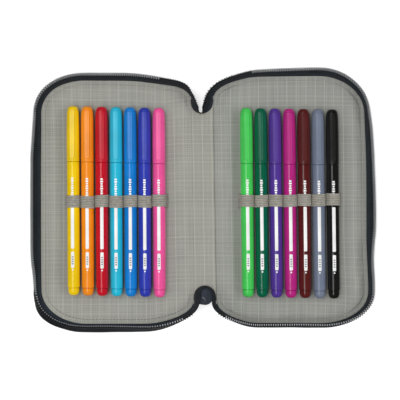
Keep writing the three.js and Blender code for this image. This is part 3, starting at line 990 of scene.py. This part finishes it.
def lining_stitches(side, points, top):
    """A row round the lining, laid on its surface. points and top are the lining's own."""
    line = EDGE - EDGE_NORMALS * SEAM_DEPTH
    line = mirrored(evenly(line[line[:, 0] > CREASE + 2.5], 1.0), SIDES[side])
    tree = tree_of(points)
    heights = [np.mean([top[i] for _, i, _ in tree.find_n((x, y, 0), 3)]) + 0.05 for x, y in line]
    line = settle(np.column_stack([line, heights]))
    vertices, faces = stitches(line, straight_up(line), radius=0.21)
    row = new_piece(side + "_lining_stitches", vertices, faces, materials["lining_thread"])
    if side == "left":  # the row is painted darker along the lower edge: painted shade
        centres = [face.center / MM for face in row.data.polygons]
        second_material(row, "shaded_lining_thread", [c.y < -82 and c.x > -110 for c in centres])
    bends(row)


# ---------------------------------------------------------------- the tab over the zip's end
TAB_RADII = (6.4, 6.9)
# The tab's rounded edge and domed top: share of the radii, and height.
TAB_LEVELS = ((1.0, 0.0), (1.0, 0.35), (0.97, 0.62), (0.91, 0.78), (0.86, 0.74), (0.8, 0.86), (0.62, 1.08),
              (0.4, 1.24), (0.2, 1.32))
TAB_TOP = 1.35


def tab_height(x, y, height):
    """The tab's top with its folded slit, which runs aslant."""
    along = (x + 1.2) * 0.75 - (y + 2.0) * 0.66
    across = (x + 1.2) * 0.66 + (y + 2.0) * 0.75
    slit = 0.75 * bump(across, -0.5, 0.45) * bump(along, 0.2, 2.2)
    ridge = 0.35 * bump(across, 0.5, 0.5) * bump(along, 0.2, 2.6)
    return height + (ridge - slit) * min(1.0, height)


def tab():
    low, high = (np.array(corner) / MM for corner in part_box("zip_end_tab"))
    centre = np.array([(low[0] + high[0]) / 2, low[1] + TAB_RADII[1]])
    turns = 48
    angles = np.arange(turns) * 2 * math.pi / turns
    outline = np.column_stack([np.cos(angles), np.sin(angles)]) * TAB_RADII
    rings = [[(*(centre + place), low[2] + tab_height(*place, height)) for place in outline * share]
             for share, height in TAB_LEVELS]
    vertices, faces = loft(rings, caps=False)
    last, peak = (len(rings) - 1) * turns, len(vertices)
    faces.append(tuple(range(turns - 1, -1, -1)))
    faces.extend((last + k, last + (k + 1) % turns, peak) for k in range(turns))
    vertices = np.vstack([vertices, (*centre, low[2] + TAB_TOP)])
    vertices = settle(vertices)
    piece = new_piece("zip_end_tab_cloth", vertices, faces, materials["tab"], vertices[:, :2] * MM, 60)
    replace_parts(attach(piece, "spine"), "zip_end_tab")
    # A pale cord along the folded slit: a painted highlight on the fold's edge.
    ends = np.array([[-2.5, -0.2], [-1.4, -1.2], [-0.3, -2.4], [0.4, -3.6]]) + centre
    line = settle(np.column_stack([ends, np.full(4, low[2] + 1.15)]))
    vertices, faces = tube(catmull(line), 0.24, 8, flat=0.7)
    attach(new_piece("tab_fold_highlight_cord", vertices, faces, materials["slit"]), "spine")


# ---------------------------------------------------------------- pens
def pen_frame(colour):
    """The pen's middle and its direction towards the cap, in millimetres."""
    axis = next(j["axis"] for j in frame["joints"] if j["name"] == f"cap_{colour}_pull")
    barrel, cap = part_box(f"pen_{colour}_barrel"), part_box(f"pen_{colour}_cap")
    middle = (np.minimum(barrel[0], cap[0]) + np.maximum(barrel[1], cap[1])) / 2 / MM
    return np.array([middle[0], middle[1], PEN_AXIS.z]), unit(np.array(axis, float))


def in_place(vertices, middle, axis, roll=0.0):
    """From the pen's own frame, with +Y towards the cap and +Z up, to the case's."""
    vertices = np.asarray(vertices, float)
    c, s = math.cos(roll), math.sin(roll)
    across = np.array([axis[1], -axis[0], 0.0])
    x = vertices[:, 0] * c + vertices[:, 2] * s
    z = vertices[:, 2] * c - vertices[:, 0] * s
    return middle + np.outer(x, across) + np.outer(vertices[:, 1], axis) + np.outer(z, (0, 0, 1))


TAIL_END = -71.0
TAIL_SEAM = -64.9
CAP_MOUTH = 29.05
# Profiles to turn, as (radius, y): y is 0 at the pen's middle.
BARREL = [(3.9, TAIL_SEAM), (4.4, TAIL_SEAM), (4.55, TAIL_SEAM + 0.12), (4.61, TAIL_SEAM + 0.5), (4.66, -40),
          (4.7, 0), (4.72, 27.6), (4.71, 28.5), (4.6, 28.75), (3.6, 28.75), (3.5, 28.9), (3.45, 33),
          (3.3, 38.2), (3.1, 38.5), (2.35, 39.3), (2.2, 40.0), (1.5, 44.9), (1.3, 45.2), (0, 45.2)]
PLUG = [(0, TAIL_END), (1.5, TAIL_END + 0.12), (2.65, TAIL_END + 0.5), (3.5, TAIL_END + 1.25),
        (4.0, TAIL_END + 2.4), (4.24, TAIL_END + 4.0), (4.28, TAIL_SEAM - 0.85), (4.22, TAIL_SEAM - 0.58),
        (4.02, TAIL_SEAM - 0.48), (3.7, TAIL_SEAM - 0.46), (3.7, TAIL_SEAM + 2), (0, TAIL_SEAM + 2)]
CAP = [(0, 65.8), (2.6, 65.5), (3.35, 64.6), (3.75, 45), (4.12, CAP_MOUTH + 0.3), (4.4, CAP_MOUTH + 0.02),
       (4.7, CAP_MOUTH), (4.82, CAP_MOUTH + 0.12), (4.84, CAP_MOUTH + 0.4), (4.84, CAP_MOUTH + 1.0),
       (4.74, CAP_MOUTH + 1.2), (4.74, CAP_MOUTH + 1.45), (4.83, CAP_MOUTH + 1.7), (4.83, 40), (4.79, 52),
       (4.7, 60), (4.54, 64.5), (4.4, 66.6), (4.3, 67.1), (3.9, 67.25), (3.87, 67.45), (4.14, 67.6),
       (4.0, 68.3), (3.65, 69.1), (3.1, 69.8), (2.4, 70.25), (1.5, 70.5), (0, 70.6)]
NIB = [(0, 44.6), (0.75, 44.6), (0.75, 46.4), (0.6, 47.1), (0.3, 47.5), (0, 47.6)]
# How far each pen is rolled in its loop, in degrees.
ROLLS = {"yellow": -3, "red": 3, "light_green": 2, "dark_green": -1, "brown": 2, "black": 1, "pink": -2,
         "grey": -1}


def patch(y0, y1, half_width, lift=0.05, corner=0.5):
    """A thin printed patch with rounded corners that follows the barrel."""
    middle = np.linspace(y0 + corner, y1 - corner, 12)
    ys = np.concatenate([[y0, y0 + corner * 0.3], middle, [y1 - corner * 0.3, y1]])
    rings = []
    for y in ys:
        near = min(y - y0, y1 - y)
        inset = corner - math.sqrt(max(0.0, corner ** 2 - max(0.0, corner - near) ** 2))
        r = barrel_radius(y)
        angles = np.linspace(-1, 1, 9) * (half_width - inset) / r
        outer = [((r + lift) * math.sin(a), y, (r + lift) * math.cos(a)) for a in angles]
        inner = [((r - 0.1) * math.sin(a), y, (r - 0.1) * math.cos(a)) for a in angles[::-1]]
        rings.append(outer + inner)
    return loft(rings)


def barrel_radius(y):
    return float(np.interp(y, (TAIL_SEAM, 0, 28), (4.62, 4.7, 4.72)))


def cap_radius(y):
    return float(np.interp(y, (30, 40, 52, 60, 64.5, 66.6), (4.83, 4.83, 4.79, 4.7, 4.54, 4.4)))


CLIP_CURVE = 9.5  # how little the panel is rounded across
CLIP_HALF = 1.9
CLIP_RISE = 0.36
# One half of the panel seen along the pen: share of the half width, and height in shares of the rise.
CLIP_HALF_SECTION = ((0.3, 0.0), (0.6, 0.0), (0.72, 0.14), (0.82, 0.26), (0.92, 0.14), (0.98, -0.3),
                     (1, -0.9))
CLIP_SECTION = [(-x, z) for x, z in CLIP_HALF_SECTION[::-1]] + [(0, 0.0), *CLIP_HALF_SECTION]


def clip():
    """The cap's clip: a long raised panel with rolled edges and a rounded free end."""
    low, high = CAP_MOUTH + 2.1, 66.9
    ys = np.concatenate([low + np.array([0, 0.15, 0.45, 0.9, 1.5]), np.linspace(low + 2.2, high - 1.5, 14),
                         high - np.array([0.9, 0.4, 0.0])])
    rings = []
    for y in ys:
        r = cap_radius(y)
        end = min(1.0, (y - low) / 1.5)
        if y < low + 1.5:
            half = CLIP_HALF * math.sqrt(max(0.02, 1 - (1 - end) ** 2))
        else:
            half = CLIP_HALF + 0.2 * (y - low) / (high - low)
        starts, ends = smooth(y, low - 0.4, low + 0.5), smooth(y, high - 3, high)
        raised = CLIP_RISE * float(starts) * (1 - 0.75 * float(ends))
        foot = r * math.cos(half / r) - 0.1
        ring = [(-half, y, foot)]
        for share, rim in CLIP_SECTION:
            x = share * half
            ring.append((x, y, r + raised - x * x / (2 * CLIP_CURVE) + rim * raised))
        ring.append((half, y, foot))
        rings.append(ring)
    return loft(rings)


def pen(colour):
    middle, axis = pen_frame(colour)
    body, cap_body = "pen_" + colour, "cap_" + colour
    roll = math.radians(ROLLS.get(colour, 0))

    def add(name, shape, material, ride):
        vertices, faces = shape
        vertices = in_place(vertices, middle, axis, roll)
        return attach(new_piece(f"{name}_{colour}", vertices, faces, materials[material]), ride)

    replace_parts(add("barrel", lathe(BARREL), colour, body), f"pen_{colour}_barrel")
    add("tail_plug", lathe(PLUG), colour, body)
    add("nib", lathe(NIB, 24), colour + "_felt", body)
    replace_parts(add("cap", lathe(CAP), colour + "_cap", cap_body), f"pen_{colour}_cap")
    add("cap_clip", clip(), colour + "_cap", cap_body)
    bars = [patch(-35.8, -2.6, 1.2), patch(-50.2, -38.2, 1.2), patch(-52.2, -51.0, 0.6)]
    dashes = [patch(3.4 + k * 1.75, 4.7 + k * 1.75, 1.05 - 0.15 * (k % 3), corner=0.3) for k in range(8)]
    add("label", merge(bars + dashes), "label", body)
    marks = [patch(-47.6 + k * 1.7, -46.6 + k * 1.7, 0.7, 0.08, 0.25) for k in range(4)]
    add("label_marks", merge(marks), "mark", body)


# ---------------------------------------------------------------- elastic
# How far each loop has slid along its pen, and how far it stands askew.
LOOP_JITTER = {"left": (0.1, -0.45, 0.3, -0.3, 0.15, -0.25, 0.45),
               "right": (2.0, 1.7, 1.9, 1.6, 2.1, 1.9, 2.3)}
LOOP_SKEW = {"left": (0.3, -0.5, 0.35, -0.3, 0.3, -0.4, -0.35),
             "right": (-0.4, 0.4, -0.35, 0.3, -0.3, 0.4, -0.3)}


def loop_centreline(left_foot, right_foot):
    """The arch of one loop, seen along the pen: (x, z) from the pen's axis."""
    floor = LINING_TOP + 0.45 - PEN_AXIS.z
    angles = np.linspace(math.pi - 0.1, 0.1, 22)
    arch = [(5.12 * math.cos(a), 5.12 * math.sin(a)) for a in angles]
    left = [(-5.1, floor + 0.5), (-5.12, -2.5)]
    right = [(5.12, -2.5), (5.1, floor + 0.5)]
    if left_foot:
        left = [(-6.6, floor), (-5.8, floor + 0.02), (-5.3, floor + 0.25)] + left[1:]
    if right_foot:
        right = right[:1] + [(5.3, floor + 0.25), (5.8, floor + 0.02), (6.6, floor)]
    return evenly(catmull(left + arch + right, steps=4), 0.55)


def loop(line, shift, skew):
    """One ribbed loop as a closed strip. Returns (vertices, faces, uv)."""
    along = lengths(line)
    across = np.linspace(-1, 1, RIBS * 6 + 1)
    crown = np.abs(np.sin((across + 1) * RIBS * math.pi / 2)) ** 0.7
    edge = 1 - smooth(np.abs(across), 0.9, 1.0)
    rings, flats = [], []
    for point, normal, s in zip(line, left_normals(line), along):
        turn = s / along[-1] - 0.5
        waist = 1 - 0.035 * math.cos(turn * 2 * math.pi)
        y = across * BAND_HALF * waist + shift + skew * turn * 2
        outer = 0.1 + 0.24 * (0.25 + 0.75 * crown) * (0.3 + 0.7 * edge)
        ring = [(point[0] + normal[0] * o, v, point[1] + normal[1] * o) for v, o in zip(y, outer)]
        ring += [(point[0] - normal[0] * 0.12, v, point[1] - normal[1] * 0.12) for v in y[::-1]]
        rings.append(ring)
        flat = [(s, v * BAND_HALF) for v in across]
        flats.append(flat + flat[::-1])
    vertices, faces = loft(rings)
    return vertices, faces, np.vstack(flats)


def elastic(side, colours):
    """Seven loops in one strip, a row of tacks between them, riding on the leaf."""
    frames = [pen_frame(colour) for colour in colours]
    middle = np.mean([m for m, _ in frames], axis=0)
    axis = frames[0][1]
    across = np.array([axis[1], -axis[0], 0.0])
    tack_row = np.linspace(-BAND_HALF + 0.5, BAND_HALF - 0.5, 40)
    tack_height = LINING_TOP + 0.75 - PEN_AXIS.z
    parts, flats, tacks = [], [], []
    for i, (pen_middle, _) in enumerate(frames):
        centre = middle + across * float((pen_middle - middle) @ across)
        line = loop_centreline(i == 0, i == len(frames) - 1)
        vertices, faces, flat = loop(line, LOOP_JITTER[side][i], LOOP_SKEW[side][i])
        parts.append((in_place(vertices, centre, axis), faces))
        flats.append(flat + (i * 11, 0))
        feet = ([-6.2] if i == 0 else []) + [6.2 if i == len(frames) - 1 else 5.35]
        for foot in feet:
            row = np.column_stack([np.full(40, foot), tack_row, np.full(40, tack_height)])
            tacks.append(stitches(in_place(row, centre, axis), straight_up(row), 1.2, 0.16, 1.6))
    vertices, faces = merge(parts)
    band = new_piece(side + "_elastic_band", vertices, faces, materials["elastic"], np.vstack(flats) * MM, 70)
    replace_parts(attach(band, side + "_leaf"), side + "_elastic")
    vertices, faces = merge(tacks)
    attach(new_piece(side + "_elastic_tacks", vertices, faces, materials["lining_thread"]), side + "_leaf")


# ---------------------------------------------------------------- what is hidden between the fabrics
CORE_SETBACK = 3.8  # a leaf's board and wadding begin this much further out, clear of the fold


def core(node, body, material):
    """A board or a wadding in its own shape, settled askew like the fabrics round it."""
    mesh = frame["nodes"][node].data
    corners = np.array([corner.co for corner in mesh.vertices]) / MM
    places, index = np.unique(corners.round(3), axis=0, return_inverse=True)
    index = index.reshape(-1).tolist()
    faces = [tuple(dict.fromkeys(index[i] for i in polygon.vertices)) for polygon in mesh.polygons]
    whole = [face for face in faces if len(face) > 2]
    inner = 1 - smooth(np.abs(places[:, 0]), 20, 60)
    places = settle(places)
    if body != "spine":
        places[:, 0] += np.sign(places[:, 0]) * CORE_SETBACK * inner
    piece = new_piece(node + "_core", places, whole, materials[material])
    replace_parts(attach(piece, body), node)
    return piece


# ---------------------------------------------------------------- CAD nodes that stay
def keep(node, material, bevel=0.0):
    obj = frame["nodes"][node]
    obj.data.materials.clear()
    obj.data.materials.append(materials[material])
    if bevel:
        rounded = obj.modifiers.new("rounded", "BEVEL")
        rounded.width = bevel * MM
        rounded.segments = 3
        rounded.limit_method = "ANGLE"
        rounded.angle_limit = math.radians(35)


# ---------------------------------------------------------------- camera, light and floor
def look_down():
    """The camera hangs straight over the open case."""
    data = bpy.data.cameras.new("camera")
    data.lens = 100
    data.sensor_width = 36
    width, focus_height = 0.300, 0.008  # the view is this wide at this height
    camera = placed("camera", data)
    camera.location = (-0.0015, -0.00045, width * data.lens / data.sensor_width + focus_height)
    bpy.context.scene.camera = camera


def area_light(name, place, size, power, mirrored_in_gloss=True):
    """A soft box aimed at the middle of the case."""
    data = bpy.data.lights.new(name, "AREA")
    data.shape = "RECTANGLE"
    data.size, data.size_y = size
    data.energy = power
    light = placed(name, data)
    light.location = place
    light.rotation_euler = (-Vector(place)).to_track_quat("-Z", "Y").to_euler()
    light.visible_glossy = mirrored_in_gloss


def studio():
    world = bpy.data.worlds.new("studio")
    bpy.context.scene.world = world
    world.use_nodes = True
    sky = world.node_tree.nodes["Background"].inputs
    sky["Color"].default_value = (1, 1, 1, 1)
    sky["Strength"].default_value = 0.4
    world.cycles_visibility.glossy = False
    area_light("overhead_strip", (-0.4, 0.0, 1.6), (1.8, 0.6), 11.5)
    area_light("left_strip_box", (-1.15, 0.0, 1.15), (1.8, 0.5), 3.6, False)
    area_light("right_strip_box", (1.15, 0.0, 1.15), (1.8, 0.5), 9.0, False)
    mesh = bpy.data.meshes.new("floor")
    mesh.from_pydata([(-4, -4, 0), (4, -4, 0), (4, 4, 0), (-4, 4, 0)], [], [(0, 1, 2, 3)])
    shader = Shader("pale_floor", 0.9, emission_strength=0.62)
    shader.surface.inputs["Base Color"].default_value = (0.7, 0.7, 0.7, 1)
    shader.surface.inputs["Emission Color"].default_value = (1, 1, 1, 1)
    mesh.materials.append(shader.material)
    placed("floor", mesh)


# ---------------------------------------------------------------- assembly
look_down()
studio()
for side in SIDES:
    lining_stitches(side, *lining(side))
    cover(side)
    sections = wall_sections(side)
    walls(side, sections)
    teeth(side, sections)
    wall_stitches(side, sections)
    core(side + "_board", side + "_leaf", "board")
    core(side + "_padding", side + "_leaf", "wadding")
spine_lining()
spine_cover()
tab()
core("spine_board", "spine", "board")
keep("zip_slider", "slider", 0.2)
keep("slider_pull", "slider", 0.15)
names = list(PEN_COLOURS)
elastic("left", names[:7])
elastic("right", names[7:])
for name in names:
    pen(name)

bpy.context.scene.view_settings.view_transform = "Standard"
